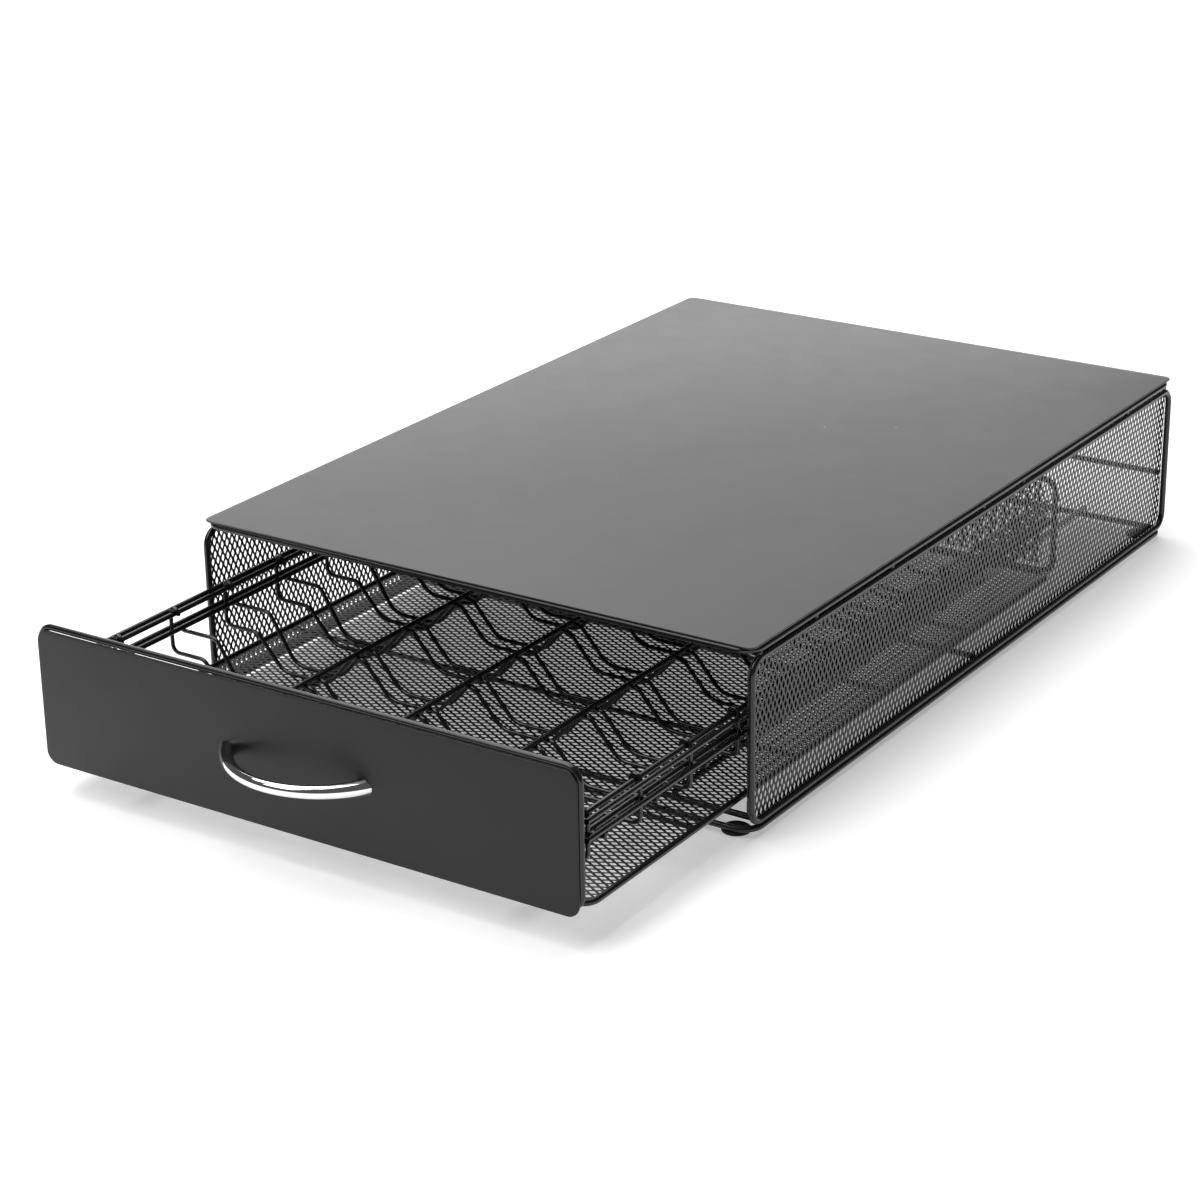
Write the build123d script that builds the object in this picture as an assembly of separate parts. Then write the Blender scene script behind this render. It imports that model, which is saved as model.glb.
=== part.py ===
from build123d import *
import math
import os

# Countertop drawer for coffee pods: a wire and mesh casing under a sheet steel top,
# with a drawer that slides out towards -Y and carries four lanes of pods on edge.
# Millimetres. X is the width, Y the depth (front at -Y), Z is up.
# The origin is the middle of the whole object's footprint as it stands, with its drawer out,
# on the plane that the feet rest on.

# ---- driving dimensions ------------------------------------------------------------
casing_width = 302.0          # over the outsides of the two side frames
casing_depth = 440.0
casing_height = 90.0          # rest plane to the top of the sheet

foot_height = 2.2
foot_dia = 13.5
foot_inset = (12.0, 6.8)      # foot centre, from the casing's outside in X and in Y

sheet_thickness = 0.9
sheet_inset = 0.6             # sheet edge inside the frame wire's outline
sheet_corner = 4.0

frame_wire = 3.2              # side frames
loop_wire = 3.0               # top and bottom loops
frame_bend = 7.5              # centre-line bend radius of the side frames
loop_bend = 9.0               # centre-line bend radius of the top and bottom loops
tack_gap = 0.8                # between the top loop and the side frames
tack_length = 3.4
tack_bite = 0.35              # how deep a weld tack sinks into each wire
tack_end_insets = (8.0, 56.0)          # tack places in from each end of the casing
tack_middle_places = (-94.0, -2.0, 41.0)   # tack places from the casing's middle

weld_gap = 0.1                # paint between welded wires
wire_sides = 8                # faces round a frame wire
rack_sides = 6                # faces round a rack wire
mesh_thickness = 0.8
side_mesh_pitch = (33.0, 36.5)        # along Y, along Z
floor_mesh_pitch = (54.0, 50.0)       # along X, along Y
rear_mesh_pitch = (42.0, 26.0)        # along X, along Z
mesh_strand = 2.6
mesh_border = 2.0
rear_mesh_corner = 3.0

crossbar_wire = 3.0
runner_wire = 3.0
runner_clearance = 1.7        # side play between a runner and the skid beside it
stop_wire = 3.0
stop_height = 36.0            # centre of the rear stop wire

drawer_open = 121.6           # how far the drawer stands out
panel_play = 4.2              # from the panel's side edge to the side mesh
panel_thickness = 1.0
panel_corner = 6.0
panel_top_gap = 10.7          # casing top to the panel's top edge
panel_bottom = 14.8           # panel's bottom edge above the rest plane
stop_clearance = 0.5          # drawer's back to the stop wire when shut

drawer_wire = 3.0             # front, floor and rear loops
front_loop_inset = 0.2        # loop centre line inside the panel's side edges
front_loop_rise = 0.9         # loop centre line above the panel's top edge
front_loop_lift = 3.0         # loop centre line above the panel's bottom edge
drawer_bend = 7.0
floor_level = 19.0            # centre of the floor loop
drawer_play = 2.0             # between the floor loop and the side mesh
rear_loop_top = 68.4          # centre line of the rear loop's top bar
floor_cross_wire = 2.5
floor_cross_count = 4

skid_wire = 4.0
skid_clearance = 0.3          # skid above the crossbars
skid_spacing = 203.0
skid_end_inset = 0.8          # skid's ends, in from the floor loop's centre line

rail_wire = 2.5
rack_wire = 2.0
rail_play = 1.65              # between an outer rail and the side mesh
upper_rail_z = 57.0
lower_rail_z = 48.5

lane_pitch = 63.0
lane_count = 4
row_pitch = 38.8
row_count = 10
first_cradle = 8.6            # first cradle wire, behind the panel's front face
stop_wire_offset = 9.4        # retaining wire behind the cradle wire in front of it
crest_level = 37.5            # wire centre between lanes
hook_level = 44.6             # retaining wire centre, from the rail to its lane
trough_floor_width = 27.0
trough_top_width = 57.0

handle_span = 72.6            # between the handle's feet
handle_reach = 20.5           # bow's centre line in front of the panel
handle_drop = 0.3             # handle below the panel's middle
handle_waist = (5.4, 4.8)     # bar height and depth at the middle of the bow
handle_root = (7.8, 8.2)      # the same where the bow meets the panel
handle_sides = 12             # faces round the bar
handle_steps = 14             # faces along the bow
screw_thread_dia = 3.0
screw_head_dia = 7.5
screw_head_height = 2.2
screw_depth = 2.0             # screw end in the handle's foot
screw_play = 0.1

# ---- derived values ----------------------------------------------------------------
sheet_underside = casing_height - sheet_thickness
top_loop_z = sheet_underside - weld_gap - loop_wire / 2
side_x = casing_width / 2 - frame_wire / 2
side_half_depth = casing_depth / 2 - frame_wire / 2
side_top_z = top_loop_z - loop_wire / 2 - tack_gap - frame_wire / 2
bottom_loop_z = foot_height + loop_wire / 2
side_bottom_z = bottom_loop_z + loop_wire / 2 + weld_gap + frame_wire / 2
side_inner_x = side_x - frame_wire / 2
mesh_inner_x = side_inner_x - weld_gap - mesh_thickness

crossbar_y = side_half_depth - frame_bend
crossbar_z = side_bottom_z
crossbar_half = mesh_inner_x - weld_gap
crossbar_top = crossbar_z + crossbar_wire / 2

skid_z = crossbar_top + skid_clearance + skid_wire / 2
skid_x = skid_spacing / 2
runner_x = skid_x + skid_wire / 2 + runner_clearance + runner_wire / 2
runner_z = crossbar_top + weld_gap + runner_wire / 2
runner_half = crossbar_y + crossbar_wire / 2

panel_width = 2 * (mesh_inner_x - panel_play)
panel_front_y = -casing_depth / 2 - drawer_open
panel_back_y = panel_front_y + panel_thickness
panel_top = casing_height - panel_top_gap
panel_mid_z = (panel_top + panel_bottom) / 2
handle_z = panel_mid_z - handle_drop
bow_radius = ((handle_span / 2) ** 2 + handle_reach ** 2) / (2 * handle_reach)
bow_centre_y = panel_front_y - handle_reach + bow_radius
front_loop_y = panel_back_y + weld_gap + drawer_wire / 2
front_loop_back = front_loop_y + drawer_wire / 2
stop_y = side_half_depth
rear_loop_y = stop_y - stop_wire / 2 - stop_clearance - drawer_open - drawer_wire / 2
rear_loop_front = rear_loop_y - drawer_wire / 2
front_loop_top = panel_top + front_loop_rise
front_loop_bottom = panel_bottom + front_loop_lift
rear_loop_bottom = floor_level

floor_half_width = mesh_inner_x - drawer_play - drawer_wire / 2
floor_front_y = front_loop_back + weld_gap + drawer_wire / 2
floor_rear_y = rear_loop_front - weld_gap - drawer_wire / 2
floor_mesh_bottom = floor_level - mesh_thickness / 2
floor_mesh_top = floor_level + mesh_thickness / 2
floor_cross_z = floor_mesh_bottom - weld_gap - floor_cross_wire / 2
floor_inner_x = floor_half_width - drawer_wire / 2 - weld_gap

outer_rail_x = mesh_inner_x - rail_play - rail_wire / 2
inner_rail_x = outer_rail_x - rail_wire - rack_wire - 2 * weld_gap
rack_end_x = (outer_rail_x + inner_rail_x) / 2
arch_radius = rail_wire / 2 + weld_gap + rack_wire / 2
trough_level = floor_mesh_top + weld_gap + rack_wire / 2
divider_z = crest_level + rack_wire / 2 + weld_gap + rail_wire / 2
cradle_start_y = panel_front_y + first_cradle
lane_centres = [(lane - (lane_count - 1) / 2) * lane_pitch for lane in range(lane_count)]

# The pieces are drawn about the middle of the casing, which stands this far behind the origin.
casing_middle_y = (drawer_open + handle_reach + handle_waist[1] / 2) / 2

os.makedirs("parts", exist_ok=True)


# ---- helpers -----------------------------------------------------------------------
def save(shape, name):
    """Write one named piece, moved from about the casing's middle to about the origin."""
    export_step(Pos(0, casing_middle_y, 0) * shape, f"parts/{name}.step")


def round_wire(path, dia, sides=wire_sides, transition=Transition.TRANSFORMED):
    """Sweep a wire along a path, with flats that keep its many faces light."""
    start = Plane(origin=path @ 0, z_dir=path % 0)
    section = start * RegularPolygon(dia / 2, sides)
    return sweep(section, path=path, transition=transition)


def straight_wire(start, end, dia):
    """A straight round wire between two points."""
    return round_wire(Line(start, end), dia)


def wire_loop(plane, width, height, bend, dia):
    """A closed rounded rectangle of round wire, centred on the plane's origin."""
    half = width / 2
    rise = height / 2
    corner_path = plane * Line((0, -rise), (half - bend, -rise))
    straight = plane * Line((half, -rise + bend), (half, rise - bend))
    corner = plane * RadiusArc((half - bend, -rise), (half, -rise + bend), -bend)
    top_corner = plane * RadiusArc((half, rise - bend), (half - bend, rise), -bend)
    top_path = plane * Line((half - bend, rise), (0, rise))
    path = Wire([*corner_path.edges(), *corner.edges(), *straight.edges(),
                 *top_corner.edges(), *top_path.edges()])
    side = round_wire(path, dia)
    middle = Plane(origin=plane.origin, z_dir=plane.x_dir)
    return side + mirror(side, about=middle)


def diamond_sheet(width, height, pitch, border, corner):
    """An expanded sheet in its own XY plane: a bordered plate with staggered diamond gaps."""
    plate = RectangleRounded(width, height, corner)
    pitch_u, pitch_v = pitch
    half_u = pitch_u / 2 - mesh_strand
    half_v = pitch_v / 2 - mesh_strand
    diamond = Polygon((half_u, 0), (0, half_v), (-half_u, 0), (0, -half_v), align=None)
    field = RectangleRounded(width - 2 * border, height - 2 * border, corner - border)
    columns = 2 * math.ceil(width / pitch_u / 2) + 1
    rows = 2 * math.ceil(height / pitch_v / 2) + 1
    places = GridLocations(pitch_u, pitch_v, columns, rows).locations
    shifted = [Location((pitch_u / 2, pitch_v / 2)) * place for place in places]
    gaps = [gap for place in places + shifted for gap in clipped(place * diamond, field)]
    return extrude(plate - gaps, amount=mesh_thickness)


def clipped(gap, field):
    """The part of a gap inside the field, left out where it is only a sliver."""
    inside = gap & field
    if inside is None:
        return []
    return [face for face in inside.faces() if face.area > mesh_strand * mesh_strand]


def arch_over(rail_x, rail_z):
    """Points of a wire that goes over a rail, from its outer side to its inner side."""
    turns = [math.radians(angle) for angle in (22.5, 67.5, 112.5, 157.5)]
    radius = arch_radius / math.cos(turns[0])
    return [(rail_x + radius * math.cos(turn), 0, rail_z + radius * math.sin(turn))
            for turn in turns]


def rack_wire_solid(points):
    """A rack wire along a route in the XZ plane."""
    return round_wire(Polyline(*points), rack_wire, rack_sides, Transition.RIGHT)


def lane_route(end_level):
    """Route over the lanes from left to right: a trough in each lane, a crest between them."""
    route = []
    for centre in lane_centres:
        first = centre == lane_centres[0]
        last = centre == lane_centres[-1]
        left_level = end_level if first else crest_level
        right_level = end_level if last else crest_level
        route += [(centre - trough_top_width / 2, 0, left_level),
                  (centre - trough_floor_width / 2, 0, trough_level),
                  (centre + trough_floor_width / 2, 0, trough_level),
                  (centre + trough_top_width / 2, 0, right_level)]
    return route


# ---- casing ------------------------------------------------------------------------
def top_sheet():
    """Flat sheet steel top with small rounded corners."""
    outline = RectangleRounded(casing_width - 2 * sheet_inset,
                               casing_depth - 2 * sheet_inset, sheet_corner)
    return Pos(0, 0, sheet_underside) * extrude(outline, amount=sheet_thickness)


def flat_loop(level):
    """Loop of wire in a level plane, as wide and deep as the casing."""
    plane = Plane(origin=(0, 0, level))
    return wire_loop(plane, casing_width - loop_wire, casing_depth - loop_wire,
                     loop_bend, loop_wire)


def side_frame(side):
    """Upright loop of wire at one side of the casing."""
    middle = (side_top_z + side_bottom_z) / 2
    plane = Plane(origin=(side * side_x, 0, middle), x_dir=(0, 1, 0), z_dir=(1, 0, 0))
    return wire_loop(plane, 2 * side_half_depth, side_top_z - side_bottom_z,
                     frame_bend, frame_wire)


def side_mesh(side):
    """Expanded sheet welded to the inner face of a side frame."""
    middle = (side_top_z + side_bottom_z) / 2
    inner = side * mesh_inner_x
    low = min(inner, inner + side * mesh_thickness)
    plane = Plane(origin=(low, 0, middle), x_dir=(0, 1, 0), z_dir=(1, 0, 0))
    return plane * diamond_sheet(2 * side_half_depth, side_top_z - side_bottom_z,
                                 side_mesh_pitch, mesh_border, frame_bend)


def weld_tacks():
    """Short tacks that join the top loop to the side frames along both sides."""
    low = side_top_z + frame_wire / 2 - tack_bite
    high = top_loop_z - loop_wire / 2 + tack_bite
    tack = extrude(RegularPolygon(tack_length / 2, 6, rotation=30), amount=high - low)
    end_places = [casing_depth / 2 - inset for inset in tack_end_insets]
    along = [*(-place for place in end_places), *tack_middle_places, *reversed(end_places)]
    places = [Pos(side * side_x, place, low) for side in (-1, 1) for place in along]
    return Compound(children=[place * tack for place in places])


def crossbar(place):
    """Bar between the two sides, near the floor of the casing."""
    return straight_wire((-crossbar_half, place, crossbar_z),
                         (crossbar_half, place, crossbar_z), crossbar_wire)


def runner(side):
    """Wire along the casing floor that keeps a skid in line."""
    return straight_wire((side * runner_x, -runner_half, runner_z),
                         (side * runner_x, runner_half, runner_z), runner_wire)


def rear_stop_wire():
    """Wire across the open back that the drawer's back meets."""
    return straight_wire((-crossbar_half, stop_y, stop_height),
                         (crossbar_half, stop_y, stop_height), stop_wire)


def foot(side, end):
    """Round pad under one corner of the bottom loop."""
    pad = Cylinder(foot_dia / 2, foot_height - weld_gap,
                   align=(Align.CENTER, Align.CENTER, Align.MIN))
    return Pos(side * (casing_width / 2 - foot_inset[0]),
               end * (casing_depth / 2 - foot_inset[1]), 0) * pad


# ---- drawer ------------------------------------------------------------------------
def handle_feet():
    """X places of the handle's two feet."""
    return (-handle_span / 2, handle_span / 2)


def front_panel():
    """Sheet steel front with rounded corners and two screw holes."""
    outline = RectangleRounded(panel_width, panel_top - panel_bottom, panel_corner)
    for foot_x in handle_feet():
        outline -= Pos(foot_x, -handle_drop) * Circle(screw_thread_dia / 2 + screw_play)
    plane = Plane(origin=(0, panel_back_y, panel_mid_z), x_dir=(1, 0, 0), z_dir=(0, -1, 0))
    return extrude(plane * outline, amount=panel_thickness)


def front_loop():
    """Loop of wire that stiffens the front panel and shows just above its top edge."""
    middle = (front_loop_top + front_loop_bottom) / 2
    plane = Plane(origin=(0, front_loop_y, middle), x_dir=(1, 0, 0), z_dir=(0, -1, 0))
    return wire_loop(plane, panel_width - 2 * front_loop_inset,
                     front_loop_top - front_loop_bottom, drawer_bend, drawer_wire)


def bow_section(turn, share):
    """Oval section of the handle's bow, at a turn from its middle and a share of its taper."""
    height, depth = [waist + (root - waist) * share
                     for waist, root in zip(handle_waist, handle_root)]
    corners = [math.tau * side / handle_sides for side in range(handle_sides)]
    oval = Polygon(*[(height / 2 * math.cos(corner), depth / 2 * math.sin(corner))
                     for corner in corners], align=None)
    place = (bow_radius * math.sin(turn), bow_centre_y - bow_radius * math.cos(turn), handle_z)
    heading = (math.cos(turn), math.sin(turn), 0)
    return Plane(origin=place, x_dir=(0, 0, 1), z_dir=heading) * oval


def handle():
    """Bow handle: a tapered arc of oval bar cut flush with the panel, bored for its screws."""
    half_turn = math.asin(handle_span / 2 / bow_radius) + math.radians(9)
    shares = [2 * step / handle_steps - 1 for step in range(handle_steps + 1)]
    bar = loft([bow_section(half_turn * share, share ** 2) for share in shares], ruled=True)
    behind = Box(2 * handle_span, handle_span, handle_span,
                 align=(Align.CENTER, Align.MIN, Align.CENTER))
    bar -= Pos(0, panel_front_y - weld_gap, handle_z) * behind
    bore = Cylinder(screw_thread_dia / 2 + screw_play, 2 * (screw_depth + screw_play))
    for foot_x in handle_feet():
        bar -= Pos(foot_x, panel_front_y, handle_z) * Rot(90, 0, 0) * bore
    return bar


def handle_screws():
    """Two pan head screws through the panel into the handle's feet."""
    shank_length = screw_depth + panel_thickness
    shank = Cylinder(screw_thread_dia / 2, shank_length,
                     align=(Align.CENTER, Align.CENTER, Align.MIN))
    head = Cylinder(screw_head_dia / 2, screw_head_height,
                    align=(Align.CENTER, Align.CENTER, Align.MIN))
    screw = shank + Pos(0, 0, shank_length) * head
    toward_back = Rot(-90, 0, 0)
    return Compound(children=[
        Pos(foot_x, panel_front_y - screw_depth, handle_z) * toward_back * screw
        for foot_x in handle_feet()])


def floor_loop():
    """Loop of wire round the drawer's floor."""
    middle = (floor_front_y + floor_rear_y) / 2
    plane = Plane(origin=(0, middle, floor_level))
    return wire_loop(plane, 2 * floor_half_width, floor_rear_y - floor_front_y,
                     drawer_bend, drawer_wire)


def floor_mesh():
    """Expanded sheet inside the floor loop."""
    inset = drawer_wire / 2 + weld_gap
    middle = (floor_front_y + floor_rear_y) / 2
    sheet = diamond_sheet(2 * floor_inner_x, floor_rear_y - floor_front_y - 2 * inset,
                          floor_mesh_pitch, mesh_border, drawer_bend - inset)
    return Pos(0, middle, floor_mesh_bottom) * sheet


def floor_cross_wires():
    """Wires under the floor mesh, from side to side."""
    spacing = (floor_rear_y - floor_front_y) / (floor_cross_count + 1)
    reach = floor_half_width - drawer_wire / 2 - weld_gap
    return Compound(children=[
        straight_wire((-reach, floor_front_y + step * spacing, floor_cross_z),
                      (reach, floor_front_y + step * spacing, floor_cross_z),
                      floor_cross_wire)
        for step in range(1, floor_cross_count + 1)])


def skid(side):
    """Wire that the drawer slides on, its ends bent up to the floor loop."""
    front = floor_front_y + skid_end_inset
    rear = floor_rear_y - skid_end_inset
    top = floor_level - drawer_wire / 2 - weld_gap
    bend = top - skid_z
    plane = Plane(origin=(side * skid_x, 0, 0), x_dir=(0, 1, 0), z_dir=(1, 0, 0))
    front_bend = plane * RadiusArc((front, top), (front + bend, skid_z), -bend)
    run = plane * Line((front + bend, skid_z), (rear - bend, skid_z))
    rear_bend = plane * RadiusArc((rear - bend, skid_z), (rear, top), -bend)
    path = Wire([*front_bend.edges(), *run.edges(), *rear_bend.edges()])
    return round_wire(path, skid_wire)


def rear_loop():
    """Loop of wire at the drawer's back."""
    middle = (rear_loop_top + rear_loop_bottom) / 2
    plane = Plane(origin=(0, rear_loop_y, middle), x_dir=(1, 0, 0), z_dir=(0, -1, 0))
    return wire_loop(plane, 2 * floor_half_width, rear_loop_top - rear_loop_bottom,
                     drawer_bend, drawer_wire)


def rear_mesh():
    """Expanded sheet on the front face of the rear loop."""
    middle = (rear_loop_top + rear_loop_bottom) / 2
    front = rear_loop_front - weld_gap - mesh_thickness
    plane = Plane(origin=(0, front, middle + drawer_wire / 2), x_dir=(-1, 0, 0),
                  z_dir=(0, 1, 0))
    return plane * diamond_sheet(2 * inner_rail_x - drawer_wire,
                                 rear_loop_top - rear_loop_bottom - 2 * drawer_wire,
                                 rear_mesh_pitch, mesh_border, rear_mesh_corner)


def rail_pair(side, level):
    """Outer and inner rail at one side, with the rack wires' ends held between them."""
    start = front_loop_back + weld_gap
    end = rear_loop_front - weld_gap
    return Compound(children=[
        straight_wire((side * x, start, level), (side * x, end, level), rail_wire)
        for x in (inner_rail_x, outer_rail_x)])


def lane_divider(number):
    """Wire along the crests between two lanes."""
    x = (lane_centres[number - 1] + lane_centres[number]) / 2
    start = cradle_start_y - rack_wire
    end = cradle_start_y + row_count * row_pitch + rack_wire
    return straight_wire((x, start, divider_z), (x, end, divider_z), rail_wire)


def cradle_wire(row):
    """Rack wire in front of a row: arched over the inner rails, a trough in each lane."""
    post = [(rack_end_x, 0, crest_level)]
    tip = [(inner_rail_x - arch_radius, 0, upper_rail_z)]
    right_end = post + arch_over(inner_rail_x, upper_rail_z) + tip
    left_end = [(-x, y, z) for x, y, z in reversed(right_end)]
    wire = rack_wire_solid(left_end + lane_route(crest_level) + right_end)
    return Pos(0, cradle_start_y + row * row_pitch, 0) * wire


def retaining_wire(row):
    """Rack wire just in front of the pods' rims, hooked up under the lower outer rails."""
    rail_underside = lower_rail_z - rail_wire / 2 - weld_gap
    right_end = [(outer_rail_x, 0, hook_level), (outer_rail_x, 0, rail_underside)]
    left_end = [(-x, y, z) for x, y, z in reversed(right_end)]
    wire = rack_wire_solid(left_end + lane_route(hook_level) + right_end)
    return Pos(0, cradle_start_y + stop_wire_offset + row * row_pitch, 0) * wire


# ---- build -------------------------------------------------------------------------
save(top_sheet(), "top_sheet")
save(flat_loop(top_loop_z), "top_frame_wire")
save(flat_loop(bottom_loop_z), "bottom_frame_wire")
save(weld_tacks(), "weld_tacks")
save(crossbar(-crossbar_y), "front_crossbar")
save(crossbar(0), "middle_crossbar")
save(crossbar(crossbar_y), "rear_crossbar")
save(rear_stop_wire(), "rear_stop_wire")
for side_name, side_sign in (("left", -1), ("right", 1)):
    save(side_frame(side_sign), f"{side_name}_side_frame")
    save(side_mesh(side_sign), f"{side_name}_side_mesh")
    save(runner(side_sign), f"{side_name}_runner")
    save(foot(side_sign, -1), f"front_{side_name}_foot")
    save(foot(side_sign, 1), f"rear_{side_name}_foot")
    save(skid(side_sign), f"{side_name}_skid")
    save(rail_pair(side_sign, upper_rail_z), f"{side_name}_upper_rails")
    save(rail_pair(side_sign, lower_rail_z), f"{side_name}_lower_rails")

save(front_panel(), "front_panel")
save(front_loop(), "front_frame_wire")
save(handle(), "handle")
save(handle_screws(), "handle_screws")
save(floor_loop(), "floor_frame_wire")
save(floor_mesh(), "floor_mesh")
save(floor_cross_wires(), "floor_cross_wires")
save(rear_loop(), "rear_frame_wire")
save(rear_mesh(), "rear_mesh")
for divider_number in range(1, lane_count):
    save(lane_divider(divider_number), f"lane_divider_{divider_number}")
for row_number in range(row_count + 1):
    save(cradle_wire(row_number), f"cradle_wire_{row_number + 1:02d}")
for row_number in range(row_count):
    save(retaining_wire(row_number), f"retaining_wire_{row_number + 1:02d}")
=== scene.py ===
"""Coffee pod drawer: a wire and mesh casing under a steel top, with a drawer of wave-wire lanes.

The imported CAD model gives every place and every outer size. The classes below bend the
round wires, cut the expanded mesh, press the sheets and dress each piece with its finish.
"""
import logging
import math
from dataclasses import dataclass, field
from enum import Enum

import bmesh
import bpy
from mathutils import Matrix, Vector

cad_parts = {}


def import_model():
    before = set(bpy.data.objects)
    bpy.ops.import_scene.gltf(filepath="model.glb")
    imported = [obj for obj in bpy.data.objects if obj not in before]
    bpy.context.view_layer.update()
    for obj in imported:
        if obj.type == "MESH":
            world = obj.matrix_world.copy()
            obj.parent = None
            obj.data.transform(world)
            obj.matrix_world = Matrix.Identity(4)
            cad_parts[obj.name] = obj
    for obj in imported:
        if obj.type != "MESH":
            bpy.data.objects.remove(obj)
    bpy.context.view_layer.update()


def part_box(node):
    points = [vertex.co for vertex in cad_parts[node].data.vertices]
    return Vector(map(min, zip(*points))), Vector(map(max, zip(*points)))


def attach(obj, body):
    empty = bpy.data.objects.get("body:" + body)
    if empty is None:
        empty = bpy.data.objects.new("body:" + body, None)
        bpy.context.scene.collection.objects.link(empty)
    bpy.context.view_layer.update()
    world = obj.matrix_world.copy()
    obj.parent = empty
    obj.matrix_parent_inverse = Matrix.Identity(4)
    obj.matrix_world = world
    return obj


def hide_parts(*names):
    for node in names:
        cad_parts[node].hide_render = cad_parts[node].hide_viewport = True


log = logging.getLogger("pod_drawer")
MM = 0.001
SEAM = 0.01 * MM
SHY = 0.999  # of the largest bend that fits, so that two bends never quite meet


# ---- shader expressions ------------------------------------------------------------
class Expr:
    """A socket of a node tree that can be used in arithmetic."""

    def __init__(self, kit: "NodeKit", socket: bpy.types.NodeSocket) -> None:
        """Wrap one output socket."""
        self.kit = kit
        self.socket = socket

    def _join(self, operation: str, left: "Expr | float", right: "Expr | float") -> "Expr":
        """Add one Math node.

        Args:
            operation: the Math node's operation.
            left: first value.
            right: second value.

        Returns:
            The result as an expression.
        """
        node = self.kit.node("ShaderNodeMath", {"operation": operation}, {0: left, 1: right})
        return Expr(self.kit, node.outputs[0])

    def __add__(self, other: "Expr | float") -> "Expr":
        """Sum."""
        return self._join("ADD", self, other)

    __radd__ = __add__

    def __mul__(self, other: "Expr | float") -> "Expr":
        """Product."""
        return self._join("MULTIPLY", self, other)

    __rmul__ = __mul__

    def __lt__(self, other: "Expr | float") -> "Expr":
        """One where this is less than the other value, otherwise zero."""
        return self._join("LESS_THAN", self, other)

    def __gt__(self, other: "Expr | float") -> "Expr":
        """One where this is more than the other value, the reflected form of less."""
        return self._join("GREATER_THAN", self, other)

    def at_least(self, other: "Expr | float") -> "Expr":
        """The greater of this and another value."""
        return self._join("MAXIMUM", self, other)


class NodeKit:
    """Builds the node tree of one material."""

    def __init__(self, name: str) -> None:
        """Start a material with an empty tree."""
        self.material = bpy.data.materials.new(name)
        self.material.use_nodes = True
        self.tree = self.material.node_tree
        self.tree.nodes.clear()
        self.output = self.tree.nodes.new("ShaderNodeOutputMaterial")

    def node(self, kind: str, settings: dict | None = None,
             inputs: dict | None = None) -> bpy.types.Node:
        """Add any node.

        Args:
            kind: the node's type.
            settings: attributes to set first.
            inputs: values, sockets or expressions for the node's inputs.

        Returns:
            The new node.
        """
        made = self.tree.nodes.new(kind)
        for key, value in (settings or {}).items():
            setattr(made, key, value)
        for key, value in (inputs or {}).items():
            self._feed(made.inputs[key], value)
        return made

    def _feed(self, socket: bpy.types.NodeSocket, value: object) -> None:
        """Link or set one input."""
        if isinstance(value, Expr):
            self.tree.links.new(value.socket, socket)
        elif isinstance(value, bpy.types.NodeSocket):
            self.tree.links.new(value, socket)
        else:
            socket.default_value = value

    def place(self, scale: tuple[float, float, float] = (1.0, 1.0, 1.0)) -> object:
        """Object coordinates through a Mapping node.

        Args:
            scale: scale along each axis.

        Returns:
            The vector socket.
        """
        source = self.node("ShaderNodeTexCoord").outputs["Object"]
        mapping = self.node("ShaderNodeMapping", None, {"Vector": source, "Scale": scale})
        return mapping.outputs["Vector"]

    def noise(self, feature: float, detail: float = 2.0, where: object = None) -> Expr:
        """Noise with features of a real size.

        Args:
            feature: size of a feature in metres.
            detail: octaves.
            where: vector socket, or None for Object coordinates.

        Returns:
            The noise value, 0 to 1.
        """
        made = self.node("ShaderNodeTexNoise", None,
                         {"Vector": where or self.place(), "Scale": 1.0 / feature,
                          "Detail": detail})
        return Expr(self, made.outputs["Fac"])

    def specks(self, spacing: float, radius: float, share: float) -> Expr:
        """Scattered round specks.

        Args:
            spacing: mean distance between cells, in metres.
            radius: radius of a speck, in metres.
            share: part of the cells that hold a speck.

        Returns:
            One on a speck, zero elsewhere.
        """
        cells = self.node("ShaderNodeTexVoronoi", None,
                          {"Vector": self.place(), "Scale": 1.0 / spacing})
        split = self.node("ShaderNodeSeparateColor", None, {0: cells.outputs["Color"]})
        near = Expr(self, cells.outputs["Distance"]) < radius / spacing
        chosen = Expr(self, split.outputs[0]) < share
        return near * chosen

    def blend(self, mask: "Expr", low: tuple, high: tuple) -> object:
        """Mix two colours by a mask.

        Args:
            mask: factor, 0 to 1.
            low: colour at 0.
            high: colour at 1.

        Returns:
            The colour socket.
        """
        mix = self.node("ShaderNodeMix", {"data_type": "RGBA"}, {0: mask, 6: low, 7: high})
        return mix.outputs[2]

    def bump(self, height: Expr, distance: float) -> object:
        """Turn a height into a normal.

        Args:
            height: height value.
            distance: height of 1, in metres.

        Returns:
            The normal socket.
        """
        made = self.node("ShaderNodeBump", None,
                         {"Strength": 1.0, "Distance": distance, "Height": height})
        return made.outputs["Normal"]

    def surface(self, inputs: dict) -> bpy.types.Material:
        """Close the material with a Principled shader.

        Args:
            inputs: inputs of the shader.

        Returns:
            The material.
        """
        shader = self.node("ShaderNodeBsdfPrincipled", None, inputs)
        self.tree.links.new(shader.outputs[0], self.output.inputs["Surface"])
        return self.material


# ---- finishes ----------------------------------------------------------------------
def grey(level: float) -> tuple:
    """A neutral colour of one level."""
    return (level, level, level, 1.0)


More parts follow.
